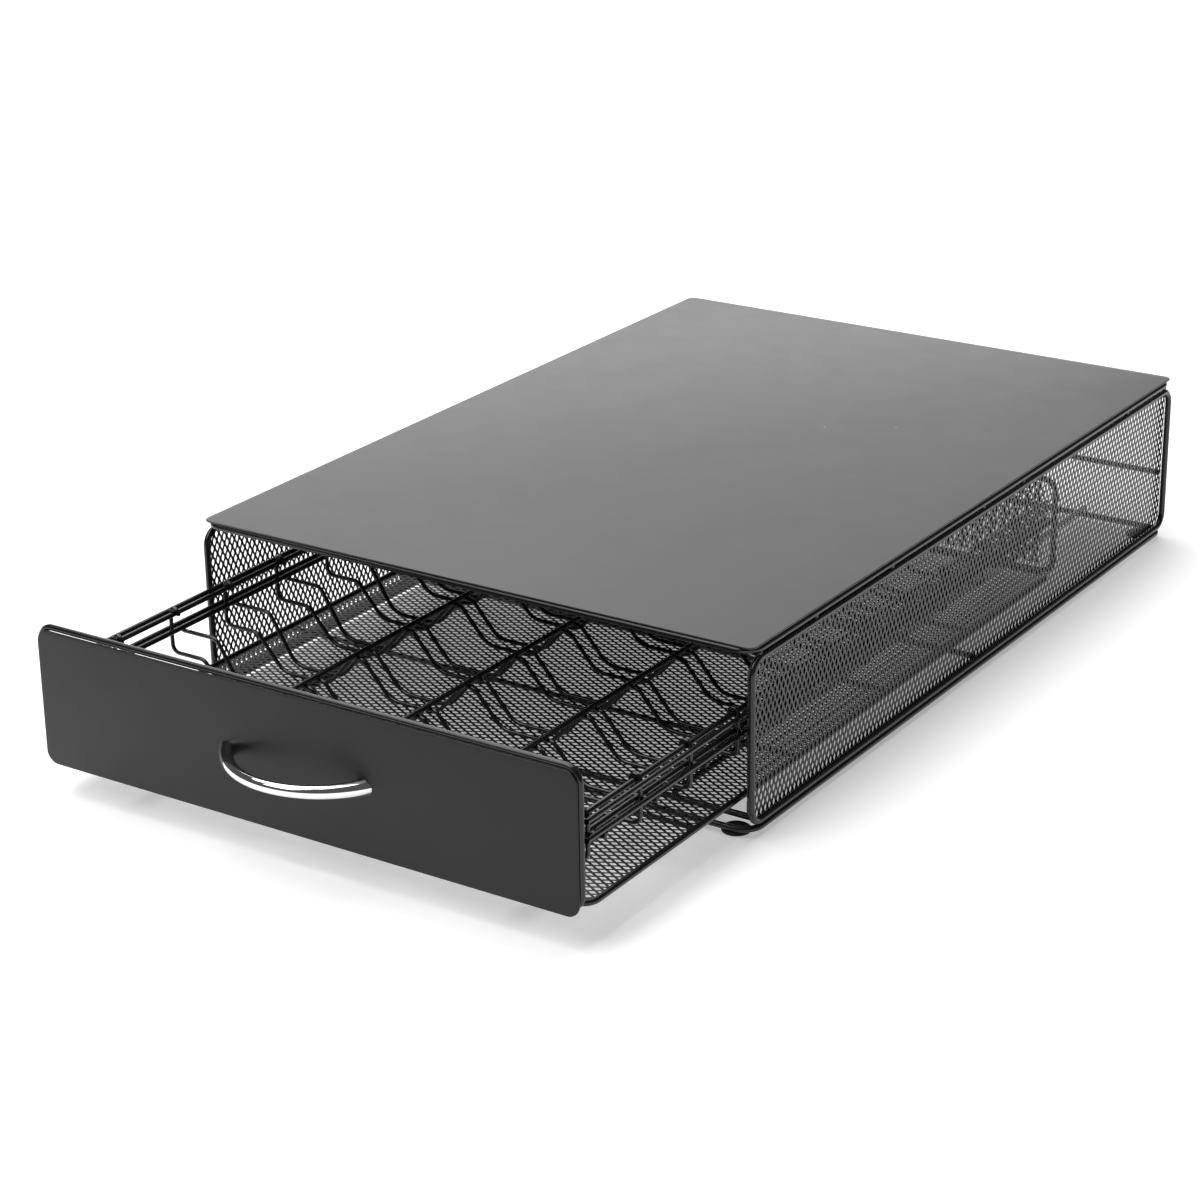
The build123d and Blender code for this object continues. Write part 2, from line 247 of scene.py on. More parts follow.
@dataclass(frozen=True)
class PowderCoat:
    """Glossy black powder coat on wire, with its fine orange peel."""

    name: str
    dark: tuple
    light: tuple
    roughness: float
    peel: float = 0.7 * MM
    peel_height: float = 0.012 * MM
    drift: float = 22 * MM
    spread: float = 0.10

    def make(self) -> bpy.types.Material:
        """Build the material."""
        kit = NodeKit(self.name)
        peel = kit.noise(self.peel, 2.0)
        drift = kit.noise(self.drift, 3.0)
        rough = drift * self.spread + (self.roughness - self.spread / 2)
        return kit.surface({
            "Base Color": kit.blend(drift, self.dark, self.light),
            "Roughness": rough, "Specular IOR Level": 0.5,
            "Normal": kit.bump(peel, self.peel_height)})


@dataclass(frozen=True)
class SatinSheet:
    """Satin black coat on sheet steel: fine texture, slow unevenness and stray dust."""

    name: str
    dark: tuple
    light: tuple
    dust: tuple
    roughness: float
    drift: float = 60 * MM
    smear: float = 16 * MM
    spread: float = 0.08
    wave: float = 70 * MM
    wave_height: float = 0.05 * MM
    texture: float = 0.55 * MM
    texture_height: float = 0.006 * MM
    speck_spacing: float = 16 * MM
    speck_radius: float = 0.5 * MM
    speck_share: float = 0.10
    speck_strength: float = 0.7
    shine: float = 0.5

    def make(self) -> bpy.types.Material:
        """Build the material."""
        kit = NodeKit(self.name)
        drift = kit.noise(self.drift, 4.0)
        smear = kit.noise(self.smear, 5.0)
        specks = kit.specks(self.speck_spacing, self.speck_radius, self.speck_share)
        base = kit.blend(drift, self.dark, self.light)
        colour = kit.node("ShaderNodeMix", {"data_type": "RGBA"},
                          {0: specks * self.speck_strength, 6: base, 7: self.dust}).outputs[2]
        height = (kit.noise(self.wave, 1.0) * (self.wave_height / self.texture_height)
                  + kit.noise(self.texture, 2.0))
        return kit.surface({
            "Base Color": colour,
            "Roughness": smear * self.spread + (self.roughness - self.spread / 2),
            "Specular IOR Level": self.shine,
            "Normal": kit.bump(height, self.texture_height)})


@dataclass(frozen=True)
class Chrome:
    """Bright plating with faint polishing marks."""

    name: str
    colour: tuple
    roughness: float
    mark: float = 1.2 * MM
    mark_height: float = 0.0006 * MM
    mark_spread: float = 0.02
    haze: float = 9 * MM
    haze_spread: float = 0.03

    def make(self) -> bpy.types.Material:
        """Build the material."""
        kit = NodeKit(self.name)
        marks = kit.noise(self.mark, 4.0, kit.place((0.15, 1.0, 1.0)))
        haze = kit.noise(self.haze, 3.0)
        return kit.surface({
            "Base Color": kit.blend(haze, self.colour, grey(self.colour[0] * 0.93)),
            "Metallic": 1.0,
            "Roughness": (haze * self.haze_spread + marks * self.mark_spread
                          + (self.roughness - self.haze_spread)),
            "Normal": kit.bump(marks, self.mark_height)})


@dataclass(frozen=True)
class Zinc:
    """Zinc-plated screw steel."""

    name: str
    dark: tuple
    light: tuple
    roughness: float = 0.25
    spread: float = 0.15
    spangle: float = 0.9 * MM
    spangle_height: float = 0.01 * MM

    def make(self) -> bpy.types.Material:
        """Build the material."""
        kit = NodeKit(self.name)
        spangle = kit.noise(self.spangle, 4.0)
        return kit.surface({
            "Base Color": kit.blend(spangle, self.dark, self.light),
            "Metallic": 1.0, "Roughness": spangle * self.spread + self.roughness,
            "Normal": kit.bump(spangle, self.spangle_height)})


@dataclass(frozen=True)
class Rubber:
    """Matt black rubber."""

    name: str
    dark: tuple
    light: tuple
    roughness: float = 0.6
    spread: float = 0.15
    grain: float = 0.4 * MM
    grain_height: float = 0.02 * MM
    scuff: float = 4 * MM

    def make(self) -> bpy.types.Material:
        """Build the material."""
        kit = NodeKit(self.name)
        grain = kit.noise(self.grain, 3.0)
        scuff = kit.noise(self.scuff, 4.0)
        return kit.surface({
            "Base Color": kit.blend(scuff, self.dark, self.light),
            "Roughness": grain * self.spread + self.roughness,
            "Normal": kit.bump(grain, self.grain_height)})


class Finish(Enum):
    """The object's finishes."""

    WIRE = PowderCoat("powder_coat_wire", (0.0060, 0.0057, 0.0057, 1.0),
                      (0.0095, 0.0090, 0.0090, 1.0), 0.24)
    MESH = PowderCoat("powder_coat_mesh", (0.0045, 0.0043, 0.0043, 1.0),
                      (0.0075, 0.0071, 0.0071, 1.0), 0.32)
    TOP = SatinSheet("satin_top_sheet", (0.042, 0.040, 0.0405, 1.0),
                     (0.052, 0.0495, 0.050, 1.0), grey(0.35), 0.40)
    PANEL = SatinSheet("satin_front_panel", (0.0075, 0.0069, 0.0072, 1.0),
                       (0.0105, 0.0097, 0.0100, 1.0), grey(0.45), 0.42, shine=0.36)
    CHROME = Chrome("chrome_handle", grey(0.86), 0.06)
    SCREW = Zinc("zinc_screw", grey(0.45), grey(0.65))
    FOOT = Rubber("foot_rubber", grey(0.012), grey(0.022))


class Wardrobe:
    """Makes each finish once."""

    def __init__(self) -> None:
        """Start empty."""
        self._made: dict[Finish, bpy.types.Material] = {}

    def get(self, finish: Finish) -> bpy.types.Material:
        """The material of a finish."""
        if finish not in self._made:
            self._made[finish] = finish.value.make()
        return self._made[finish]


# ---- tools that shape pieces -------------------------------------------------------
def vectors(box: tuple) -> list[Vector]:
    """The low and high corners of a box."""
    return [Vector(corner) for corner in box]


def verts_of(items: list) -> list[bmesh.types.BMVert]:
    """The vertices among what an operator gives back."""
    return [item for item in items if isinstance(item, bmesh.types.BMVert)]


class WireBender:
    """Forms a round wire as a bending machine does: feed a length, then bend."""

    shortest_feed = 1e-6
    least_turn = 1e-4
    end_round = 0.16

    def __init__(self, diameter: float, sides: int, step: float) -> None:
        """Set up the wire.

        Args:
            diameter: wire diameter, in metres.
            sides: faces round the wire.
            step: largest turn of one bending step, in degrees.
        """
        self.mesh = bmesh.new()
        self.diameter = diameter
        self.sides = sides
        self.step = math.radians(step)
        self.tip = Vector()
        self.heading = Vector((0, 0, 1))
        self.rim: list[bmesh.types.BMEdge] = []

    def _start(self, point: Vector, heading: Vector) -> None:
        """Put a new wire's first ring at a point, facing a heading."""
        ring = bmesh.ops.create_circle(self.mesh, segments=self.sides, radius=self.diameter / 2)
        turn = heading.to_track_quat("Z", "Y").to_matrix().to_4x4()
        bmesh.ops.transform(self.mesh, matrix=Matrix.Translation(point) @ turn,
                            verts=ring["verts"])
        self.tip = point.copy()
        self.heading = heading.normalized()
        self._hold(ring["verts"])

    def _hold(self, verts: list) -> None:
        """Remember the ring of edges at the wire's tip."""
        fresh = set(verts)
        edges = {edge for vert in verts for edge in vert.link_edges}
        self.rim = [edge for edge in edges if all(vert in fresh for vert in edge.verts)]

    def _feed(self, length: float) -> None:
        """Lengthen the wire straight ahead."""
        if length < self.shortest_feed:
            return
        grown = bmesh.ops.extrude_edge_only(self.mesh, edges=self.rim)["geom"]
        verts = verts_of(grown)
        bmesh.ops.translate(self.mesh, vec=self.heading * length, verts=verts)
        self._hold(verts)
        self.tip = self.tip + self.heading * length

    def _bend(self, angle: float, radius: float, toward: Vector) -> None:
        """Turn the wire's tip towards one side, about a centre one radius away."""
        centre = self.tip + toward * radius
        axis = self.heading.cross(toward)
        ring = {vert for edge in self.rim for vert in edge.verts}
        spun = bmesh.ops.spin(self.mesh, geom=[*ring, *self.rim], cent=centre, axis=axis,
                              angle=angle, steps=max(2, math.ceil(angle / self.step)),
                              use_duplicate=False)
        verts = verts_of(spun["geom_last"])
        turn = Matrix.Rotation(angle, 3, axis)
        self._hold(verts)
        self.tip = centre + turn @ (self.tip - centre)
        self.heading = (turn @ self.heading).normalized()

    def follow(self, points: list[Vector], radii: float | list[float]) -> "WireBender":
        """Form an open wire along a route.

        Args:
            points: the route's points.
            radii: bend radius at every inner point, or one for each.

        Returns:
            The bender itself, to add more wires.
        """
        inner = len(points) - 2
        each = radii if isinstance(radii, list) else [radii] * inner
        first = len(self.mesh.verts)
        self._start(points[0], points[1] - points[0])
        for here, after, radius in zip(points[1:-1], points[2:], each):
            leg = (after - here).normalized()
            turn = self.heading.angle(leg)
            if turn < self.least_turn:
                continue
            trim = radius * math.tan(turn / 2)
            self._feed((here - self.tip).dot(self.heading) - trim)
            toward = (leg - self.heading * leg.dot(self.heading)).normalized()
            self._bend(turn, radius, toward)
        self._feed((points[-1] - self.tip).dot(self.heading))
        self._cap(first)
        return self

    def ring(self, corners: list[Vector], radius: float) -> "WireBender":
        """Form a closed loop round some corners.

        Args:
            corners: the loop's corners.
            radius: bend radius at each.

        Returns:
            The bender itself.
        """
        middle = (corners[0] + corners[1]) / 2
        points = [middle, *corners[1:], corners[0], middle]
        inner = len(points) - 2
        self._start(points[0], points[1] - points[0])
        for here, after in zip(points[1:1 + inner], points[2:]):
            leg = (after - here).normalized()
            turn = self.heading.angle(leg)
            trim = radius * math.tan(turn / 2)
            self._feed((here - self.tip).dot(self.heading) - trim)
            toward = (leg - self.heading * leg.dot(self.heading)).normalized()
            self._bend(turn, radius, toward)
        self._feed((points[-1] - self.tip).dot(self.heading))
        bmesh.ops.remove_doubles(self.mesh, verts=self.mesh.verts, dist=SEAM)
        return self

    def _cap(self, first: int) -> None:
        """Close both ends of the last wire with a small rounded face."""
        self.mesh.verts.ensure_lookup_table()
        verts = set(self.mesh.verts[first:])
        edges = [edge for edge in self.mesh.edges if edge.is_boundary and edge.verts[0] in verts]
        faces = bmesh.ops.holes_fill(self.mesh, edges=edges, sides=self.sides)["faces"]
        rims = list({edge for face in faces for edge in face.edges})
        bmesh.ops.bevel(self.mesh, geom=rims, offset=self.diameter * self.end_round, segments=2,
                        affect="EDGES", profile=0.5, material=-1)


@dataclass
class ExpandedMesh:
    """Expanded steel sheet, slit and drawn into diamonds."""

    short_pitch: float = 3.62 * MM
    long_pitch: float = 6.6 * MM
    strand: float = 1.0 * MM
    thickness: float = 0.34 * MM
    ease: float = 0.45
    eased: bool = True

    def _tile(self) -> bmesh.types.BMesh:
        """One diamond of sheet round one hole."""
        mesh = bmesh.new()
        bmesh.ops.create_circle(mesh, cap_ends=True, segments=4, radius=1.0)
        size = Vector((self.short_pitch / 2, self.long_pitch / 2, 1))
        bmesh.ops.scale(mesh, vec=size, verts=mesh.verts)
        mesh.faces.ensure_lookup_table()
        hole = mesh.faces[0]
        rim = list(hole.verts)
        bmesh.ops.inset_individual(mesh, faces=[hole], thickness=self.strand / 2,
                                   use_even_offset=True)
        if self.eased:
            bmesh.ops.bevel(mesh, geom=list(hole.verts), offset=self.strand * self.ease,
                            segments=1, affect="VERTICES", profile=0.5, material=-1)
            hole = min(mesh.faces, key=lambda face: face.calc_center_median().length)
        edges = list(hole.edges)
        bmesh.ops.delete(mesh, geom=[hole], context="FACES_ONLY")
        top = list(mesh.faces)
        walls = bmesh.ops.extrude_edge_only(mesh, edges=edges)["geom"]
        lower = verts_of(walls)
        bmesh.ops.translate(mesh, vec=(0, 0, -self.thickness), verts=lower)
        if self.eased:
            copy = bmesh.ops.duplicate(mesh, geom=top)["geom"]
            verts = verts_of(copy)
            bmesh.ops.translate(mesh, vec=(0, 0, -self.thickness), verts=verts)
        else:
            reach = max(vert.co.x for vert in rim) / max(vert.co.x for vert in lower)
            bmesh.ops.scale(mesh, vec=Vector((reach, reach, 1)), verts=lower)
        return mesh

    def _repeat(self, mesh: bmesh.types.BMesh, step: Vector, count: int) -> None:
        """Repeat everything along a step, until there are at least so many."""
        have = 1
        while have < count:
            copy = bmesh.ops.duplicate(mesh, geom=[*mesh.verts, *mesh.edges, *mesh.faces])
            verts = verts_of(copy["geom"])
            bmesh.ops.translate(mesh, vec=step * have, verts=verts)
            have *= 2

    def _trim(self, mesh: bmesh.types.BMesh, point: Vector, normal: Vector) -> None:
        """Cut away what lies beyond a plane and close the cut strands."""
        cut = bmesh.ops.bisect_plane(mesh, geom=[*mesh.verts, *mesh.edges, *mesh.faces],
                                     dist=1e-7, plane_co=point, plane_no=normal,
                                     clear_outer=True)["geom_cut"]
        edges = [item for item in cut if isinstance(item, bmesh.types.BMEdge)
                 and item.is_boundary]
        bmesh.ops.holes_fill(mesh, edges=edges, sides=12)

    def cut(self, width: float, height: float, corner: float,
            place: Matrix) -> bmesh.types.BMesh:
        """Cut a sheet with its diamonds' long way along its height.

        Args:
            width: size along the short way.
            height: size along the long way.
            corner: how much is snipped off each corner.
            place: where the sheet goes; its upper face is its local top.

        Returns:
            The sheet's mesh.
        """
        mesh = self._tile()
        first = bmesh.ops.duplicate(mesh, geom=[*mesh.verts, *mesh.edges, *mesh.faces])
        verts = verts_of(first["geom"])
        offset = Vector((self.short_pitch / 2, self.long_pitch / 2, 0))
        bmesh.ops.translate(mesh, vec=offset, verts=verts)
        columns = math.ceil(width / self.short_pitch) + 2
        rows = math.ceil(height / self.long_pitch) + 2
        start = Vector((-columns / 2 * self.short_pitch, -rows / 2 * self.long_pitch, 0))
        bmesh.ops.translate(mesh, vec=start, verts=mesh.verts)
        self._repeat(mesh, Vector((self.short_pitch, 0, 0)), columns)
        self._trim(mesh, Vector((width / 2 + self.short_pitch, 0, 0)), Vector((1, 0, 0)))
        self._repeat(mesh, Vector((0, self.long_pitch, 0)), rows)
        bmesh.ops.remove_doubles(mesh, verts=mesh.verts, dist=SEAM)
        half = Vector((width / 2, height / 2, 0))
        for sign in (-1, 1):
            self._trim(mesh, Vector((sign * half.x, 0, 0)), Vector((sign, 0, 0)))
            self._trim(mesh, Vector((0, sign * half.y, 0)), Vector((0, sign, 0)))
            for other in (-1, 1):
                normal = Vector((sign, other, 0)).normalized()
                point = Vector((sign * (half.x - corner / 2), other * (half.y - corner / 2), 0))
                self._trim(mesh, point, normal)
        bmesh.ops.recalc_face_normals(mesh, faces=mesh.faces)
        bmesh.ops.transform(mesh, matrix=place, verts=mesh.verts)
        return mesh


def pressed_sheet(width: float, height: float, thickness: float, corner: float,
                  edge: float) -> bmesh.types.BMesh:
    """A flat sheet with rounded corners and softened edges, its top face at zero.

    Args:
        width: size along X.
        height: size along Y.
        thickness: size along Z, downwards.
        corner: corner radius.
        edge: how far the coat rounds the edges.

    Returns:
        The sheet's mesh.
    """
    mesh = bmesh.new()
    bmesh.ops.create_grid(mesh, x_segments=1, y_segments=1, size=0.5)
    bmesh.ops.scale(mesh, vec=Vector((width, height, 1)), verts=mesh.verts)
    bmesh.ops.bevel(mesh, geom=list(mesh.verts), offset=corner, segments=10,
                    affect="VERTICES", profile=0.5, material=-1)
    grown = bmesh.ops.extrude_face_region(mesh, geom=list(mesh.faces))["geom"]
    verts = verts_of(grown)
    bmesh.ops.translate(mesh, vec=(0, 0, -thickness), verts=verts)
    bmesh.ops.recalc_face_normals(mesh, faces=mesh.faces)
    rims = [edge_ for edge_ in mesh.edges if edge_.calc_face_angle(0.0) > math.radians(60)]
    bmesh.ops.bevel(mesh, geom=rims, offset=edge, segments=3, affect="EDGES",
                    profile=0.5, material=-1)
    return mesh


def turned(profile: list[tuple[float, float]], segments: int = 40) -> bmesh.types.BMesh:
    """A turned solid about Z.

    Args:
        profile: radius and height of each point, from the axis to the axis.
        segments: steps round.

    Returns:
        The solid's mesh.
    """
    mesh = bmesh.new()
    verts = [mesh.verts.new((radius, 0, height)) for radius, height in profile]
    edges = [mesh.edges.new(pair) for pair in zip(verts, verts[1:])]
    bmesh.ops.spin(mesh, geom=[*verts, *edges], cent=(0, 0, 0), axis=(0, 0, 1),
                   angle=2 * math.pi, steps=segments, use_merge=True)
    bmesh.ops.remove_doubles(mesh, verts=mesh.verts, dist=0.001 * MM)
    bmesh.ops.recalc_face_normals(mesh, faces=mesh.faces)
    return mesh


@dataclass
class Workshop:
    """Turns meshes into finished pieces that ride on the CAD bodies."""

    wardrobe: Wardrobe = field(default_factory=Wardrobe)
    crease: float = math.radians(38)
    wire_sides: int = 16
    bend_step: float = 11.25

    def deliver(self, name: str, mesh: bmesh.types.BMesh, body: str, slot: str,
                finish: Finish, replaces: tuple[str, ...] = ()) -> bpy.types.Object:
        """Finish one piece.

        Args:
            name: the piece's name.
            mesh: its mesh, freed here.
            body: the CAD body that it rides on.
            slot: the record's material slot; not used.
            finish: its finish.
            replaces: the CAD nodes that it stands for.

        Returns:
            The new object.
        """
        mesh.normal_update()
        for face in mesh.faces:
            face.smooth = True
        for edge in mesh.edges:
            edge.smooth = edge.calc_face_angle(0.0) < self.crease
        data = bpy.data.meshes.new(name)
        mesh.to_mesh(data)
        mesh.free()
        data.materials.append(self.wardrobe.get(finish))
        piece = bpy.data.objects.new(name, data)
        bpy.context.scene.collection.objects.link(piece)
        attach(piece, body)
        if replaces:
            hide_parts(*replaces)
        log.info("%s: %d faces", name, len(data.polygons))
        return piece

    def bender(self, diameter: float) -> WireBender:
        """A bender for frame wire of a diameter."""
        return WireBender(diameter, self.wire_sides, self.bend_step)

    def wire(self, node: str, body: str, bender: WireBender) -> bpy.types.Object:
        """Deliver what a bender has formed, in place of its CAD node."""
        bmesh.ops.recalc_face_normals(bender.mesh, faces=bender.mesh.faces)
        return self.deliver(f"{node}.round", bender.mesh, body, "black_wire", Finish.WIRE,
                            (node,))

    def loop(self, node: str, body: str, bend: float) -> bpy.types.Object:
        """A closed wire loop, where and as large as its CAD node is.

        Args:
            node: the CAD node.
            body: its body.
            bend: centre-line bend radius.

        Returns:
            The new piece.
        """
        low, high = vectors(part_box(node))
        span = high - low
        thin = min(range(3), key=lambda axis: span[axis])
        wide, tall = [axis for axis in range(3) if axis != thin]
        diameter = span[thin]
        middle = (low + high) / 2
        corners = []
        for across, up in ((-1, -1), (1, -1), (1, 1), (-1, 1)):
            corner = middle.copy()
            corner[wide] += across * (span[wide] - diameter) / 2
            corner[tall] += up * (span[tall] - diameter) / 2
            corners.append(corner)
        return self.wire(node, body, self.bender(diameter).ring(corners, bend))

    def bars(self, node: str, body: str, across: int = 2,
             places: tuple[float, ...] = (0.5,)) -> bpy.types.Object:
        """Straight wires side by side, where and as long as their CAD node is.

        Args:
            node: the CAD node.
            body: its body.
            across: axis whose size is the wire's diameter.
            places: where the wires lie, from 0 to 1 over the node's width.

        Returns:
            The new piece.
        """
        low, high = vectors(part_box(node))
        span = high - low
        diameter = span[across]
        others = [axis for axis in range(3) if axis != across]
        if len(places) == 1:
            along = max(others, key=lambda axis: span[axis])
        else:
            along = 1 if node.endswith("rails") else 0
        side = next(axis for axis in others if axis != along)
        bender = self.bender(diameter)
        for share in places:
            start = (low + high) / 2
            start[side] = low[side] + diameter / 2 + share * (span[side] - diameter)
            end = start.copy()
            start[along] = low[along]
            end[along] = high[along]
            bender.follow([start, end], 0.0)
        return self.wire(node, body, bender)


# ---- casing ------------------------------------------------------------------------
@dataclass
class Casing:
    """The fixed outer part: top sheet, wire loops, side meshes, floor bars and feet."""

    shop: Workshop
    body: str = "casing"
    loop_bend: float = 9 * MM
    frame_bend: float = 7.5 * MM
    sheet_corner: float = 4 * MM
    sheet_edge: float = 0.28 * MM
    mesh_snip: float = 0.6
    tack_starts: tuple[float, ...] = (8.0, 56.0, 126.0, 218.0, 261.0, 384.0, 432.0)
    tack_size: tuple[float, float, float] = (1.9 * MM, 3.4 * MM, 2.6 * MM)
    tack_drop: float = 0.4 * MM
    butt_weld: float = 8 * MM
    butt_lumps: tuple[tuple[float, float], ...] = ((-0.55 * MM, 0.98), (0.5 * MM, 1.06))
    butt_lump_length: float = 1.9 * MM
    butt_lump_depth: float = 1.12
    butt_lump_inset: float = 0.66
    foot_profile: tuple[tuple[float, float], ...] = (
        (0, 0), (0.86, 0), (0.96, 0.12), (1, 0.4), (0.97, 0.7), (0.86, 0.95), (0.7, 1), (0, 1))

    def build(self) -> None:
        """Make every piece of the casing."""
        self._top_sheet()
        for node in ("top_frame_wire", "bottom_frame_wire"):
            self.shop.loop(node, self.body, self.loop_bend)
        self._butt_weld()
        for side in ("left", "right"):
            self.shop.loop(f"{side}_side_frame", self.body, self.frame_bend)
            self._side_mesh(f"{side}_side_mesh")
            self.shop.bars(f"{side}_runner", self.body)
        for node in ("front_crossbar", "middle_crossbar", "rear_crossbar", "rear_stop_wire"):
            self.shop.bars(node, self.body)
        self._tacks()
        for end in ("front", "rear"):
            for side in ("left", "right"):
                self._foot(f"{end}_{side}_foot")

    def _top_sheet(self) -> None:
        """Flat top with rounded corners."""
        low, high = vectors(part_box("top_sheet"))
        span = high - low
        mesh = pressed_sheet(span.x, span.y, span.z, self.sheet_corner, self.sheet_edge)
        middle = (low + high) / 2
        bmesh.ops.translate(mesh, vec=(middle.x, middle.y, high.z), verts=mesh.verts)
        self.shop.deliver("top_sheet.pressed", mesh, self.body, "top_sheet_black", Finish.TOP,
                          ("top_sheet",))

    def _side_mesh(self, node: str) -> None:
        """Expanded mesh inside one side frame."""
        low, high = vectors(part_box(node))
        span = high - low
        middle = (low + high) / 2
        turn = Matrix(((0, 0, 1), (1, 0, 0), (0, 1, 0))).to_4x4()
        stock = ExpandedMesh()
        place = Matrix.Translation((middle.x + stock.thickness / 2, middle.y, middle.z)) @ turn
        mesh = stock.cut(span.y, span.z, self.frame_bend * self.mesh_snip, place)
        self.shop.deliver(f"{node}.expanded", mesh, self.body, "black_mesh", Finish.MESH,
                          (node,))

    def _butt_weld(self) -> None:
        """Lump where the ends of the top loop's wire meet, near the front right corner."""
        low, high = vectors(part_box("top_frame_wire"))
        wire = high.z - low.z
        mesh = bmesh.new()
        for shift, size in self.butt_lumps:
            lump = bmesh.ops.create_icosphere(mesh, subdivisions=3, radius=0.5)["verts"]
            span = Vector((self.butt_lump_length, wire * self.butt_lump_depth, wire * size))
            bmesh.ops.scale(mesh, vec=span, verts=lump)
            place = Vector((high.x - self.butt_weld + shift, low.y + wire * self.butt_lump_inset,
                            high.z - wire * size / 2))
            bmesh.ops.translate(mesh, vec=place, verts=lump)
        self.shop.deliver("top_frame_wire.butt_weld", mesh, self.body, "black_wire",
                          Finish.WIRE)

    def _tacks(self) -> None:
        """Weld beads between the top loop and the side frames."""
        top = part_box("top_frame_wire")[0][2]
        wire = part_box("right_side_frame")
        across = (wire[0][0] + wire[1][0]) / 2
        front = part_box("top_frame_wire")[0][1]
        mesh = bmesh.new()
        for x in (-across, across):
            for start in self.tack_starts:
                bead = bmesh.ops.create_icosphere(mesh, subdivisions=2, radius=0.5)["verts"]
                bmesh.ops.scale(mesh, vec=Vector(self.tack_size), verts=bead)
                place = Vector((x, front + start * MM, top - self.tack_drop))
                bmesh.ops.translate(mesh, vec=place, verts=bead)
        self.shop.deliver("weld_tacks.beads", mesh, self.body, "black_wire", Finish.WIRE,
                          ("weld_tacks",))

    def _foot(self, node: str) -> None:
        """One round rubber foot."""
        low, high = vectors(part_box(node))
        radius = (high.x - low.x) / 2
        height = high.z - low.z
        mesh = turned([(radius * out, height * up) for out, up in self.foot_profile])
        bmesh.ops.translate(mesh, vec=((low.x + high.x) / 2, (low.y + high.y) / 2, low.z),
                            verts=mesh.verts)
        self.shop.deliver(f"{node}.turned", mesh, self.body, "foot_rubber", Finish.FOOT,
                          (node,))


# ---- drawer ------------------------------------------------------------------------
@dataclass
class Handle:
    """The bow handle and its screws."""

    shop: Workshop
    body: str = "drawer"
    span: float = 72.6 * MM
    reach: float = 20.5 * MM
    waist: tuple[float, float] = (4.8 * MM, 5.4 * MM)
    root: tuple[float, float] = (8.2 * MM, 7.8 * MM)
    overrun: float = math.radians(9)
    bar_sides: int = 32
    bow_steps: int = 84
    shank: float = 1.5 * MM
    head: float = 7.5 * MM
    head_height: float = 2.2 * MM

    def build(self) -> None:
        """Make the bow and the screws."""
        self._bow()
        self._screws()

    def _taper(self, vert: bmesh.types.BMVert, radius: float, half: float) -> None:
        """Swell the bar at one vertex, from its waist to its root."""
        angle = math.atan2(vert.co.x, -vert.co.y)
        share = min(1.0, (angle / half) ** 2)
        swell = [1 + (wide / thin - 1) * share for thin, wide in zip(self.waist, self.root)]
        outward = Vector((vert.co.x, vert.co.y, 0)).normalized()
        offset = (vert.co.dot(outward) - radius) * swell[0]
        vert.co = outward * (radius + offset) + Vector((0, 0, vert.co.z * swell[1]))

    def _bow(self) -> None:
        """Arc of oval bar that swells towards the panel."""
        low, high = vectors(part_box("handle"))
        radius = ((self.span / 2) ** 2 + self.reach ** 2) / (2 * self.reach)
        middle = Vector(((low.x + high.x) / 2, low.y + self.waist[0] / 2 + radius,
                         (low.z + high.z) / 2))
        half = math.asin(self.span / 2 / radius) + self.overrun
        mesh = bmesh.new()
        ring = bmesh.ops.create_circle(mesh, segments=self.bar_sides, radius=0.5)["verts"]
        bmesh.ops.scale(mesh, vec=Vector((*self.waist, 1)), verts=ring)
        upright = Matrix(((0, 0, 1), (1, 0, 0), (0, 1, 0))).to_4x4()
        bmesh.ops.transform(mesh, matrix=upright, verts=ring)
        bmesh.ops.translate(mesh, vec=(0, -radius, 0), verts=ring)
        bmesh.ops.rotate(mesh, cent=(0, 0, 0), matrix=Matrix.Rotation(-half, 3, "Z"),
                         verts=ring)
        bmesh.ops.spin(mesh, geom=[*mesh.verts, *mesh.edges], cent=(0, 0, 0), axis=(0, 0, 1),
                       angle=2 * half, steps=self.bow_steps, use_duplicate=False)
        for vert in mesh.verts:
            self._taper(vert, radius, half)
        bmesh.ops.translate(mesh, vec=middle, verts=mesh.verts)
        cut = bmesh.ops.bisect_plane(mesh, geom=[*mesh.verts, *mesh.edges, *mesh.faces],
                                     plane_co=(0, high.y, 0), plane_no=(0, 1, 0),
                                     clear_outer=True)["geom_cut"]
        bmesh.ops.holes_fill(mesh, edges=[item for item in cut
                                          if isinstance(item, bmesh.types.BMEdge)], sides=64)
        bmesh.ops.recalc_face_normals(mesh, faces=mesh.faces)
        self.shop.deliver("handle.bow", mesh, self.body, "chrome", Finish.CHROME, ("handle",))

    def _screws(self) -> None:
        """Pan head screws behind the panel."""
        low, high = vectors(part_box("handle_screws"))
        length = high.y - low.y
        seat = length - self.head_height
        profile = [(0, 0), (self.shank * 0.7, 0), (self.shank, 0.4 * MM), (self.shank, seat),
                   (self.head / 2, seat), (self.head / 2, seat + self.head_height * 0.45),
                   (self.head * 0.44, seat + self.head_height * 0.75),
                   (self.head * 0.3, seat + self.head_height * 0.95),
                   (self.head * 0.12, length), (self.head * 0.1, length - 0.9 * MM),
                   (0, length - 1.1 * MM)]
        whole = bmesh.new()
        for side in (-1, 1):
            screw = turned(profile, 36)
            place = Matrix.Translation((side * self.span / 2, low.y, (low.z + high.z) / 2))
            bmesh.ops.transform(screw, matrix=place @ Matrix.Rotation(-math.pi / 2, 4, "X"),
                                verts=screw.verts)
            data = bpy.data.meshes.new("screw")
            screw.to_mesh(data)
            screw.free()
            whole.from_mesh(data)
            bpy.data.meshes.remove(data)
        self.shop.deliver("handle_screws.turned", whole, self.body, "screw_steel",
                          Finish.SCREW, ("handle_screws",))


